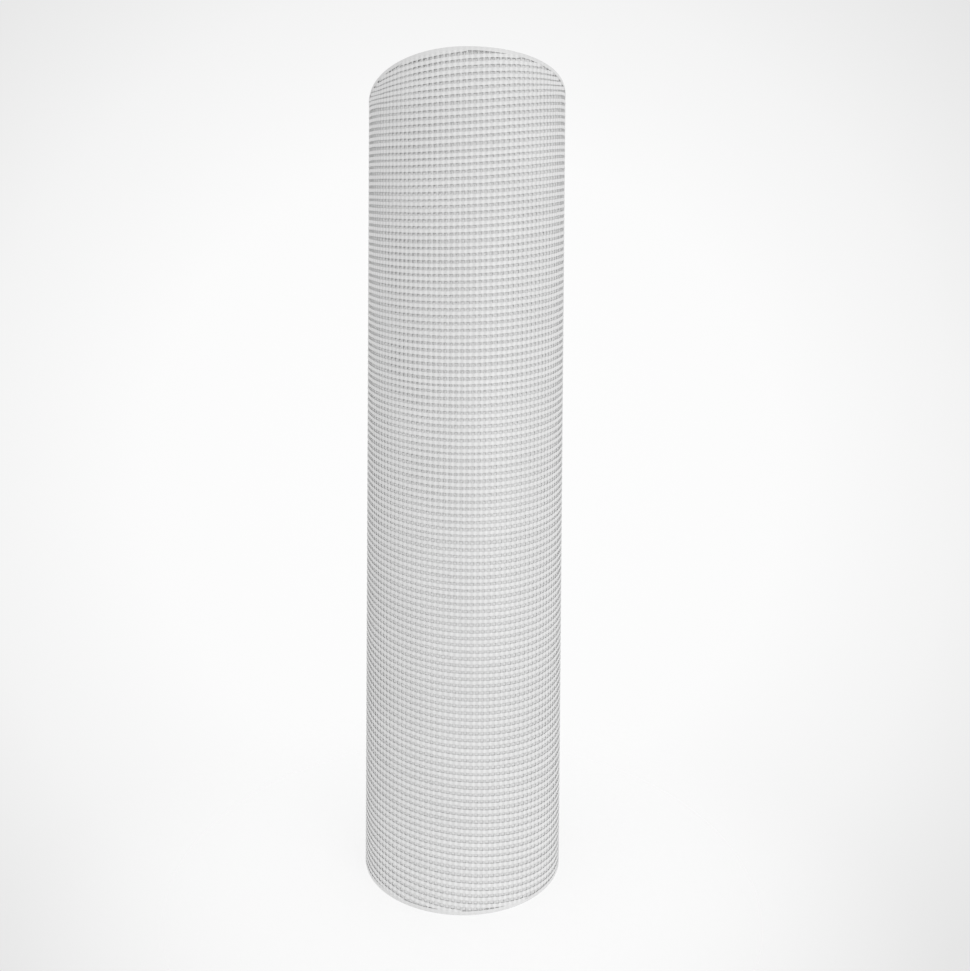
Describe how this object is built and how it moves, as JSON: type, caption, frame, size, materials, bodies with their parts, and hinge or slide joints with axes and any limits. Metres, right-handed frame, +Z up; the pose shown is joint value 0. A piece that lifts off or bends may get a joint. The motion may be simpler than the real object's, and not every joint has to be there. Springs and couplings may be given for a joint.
{
  "type": "fiberglass insect screen roll",
  "caption": "White fiberglass insect screen wound into a tight upright roll with an open bore, stock for window and door screens.",
  "frame": {"origin": "centre of the roll's bottom end, on the floor that it stands on", "axes": "+Z up along the roll's axis; the side that the picture shows faces -Y"},
  "size_m": [0.159, 0.159, 0.6116],
  "materials": {
    "screen_mesh": "white vinyl-coated glass yarn, woven open, low sheen"
  },
  "bodies": {
    "root": {"screen_roll": "screen_mesh"}
  },
  "joints": []
}
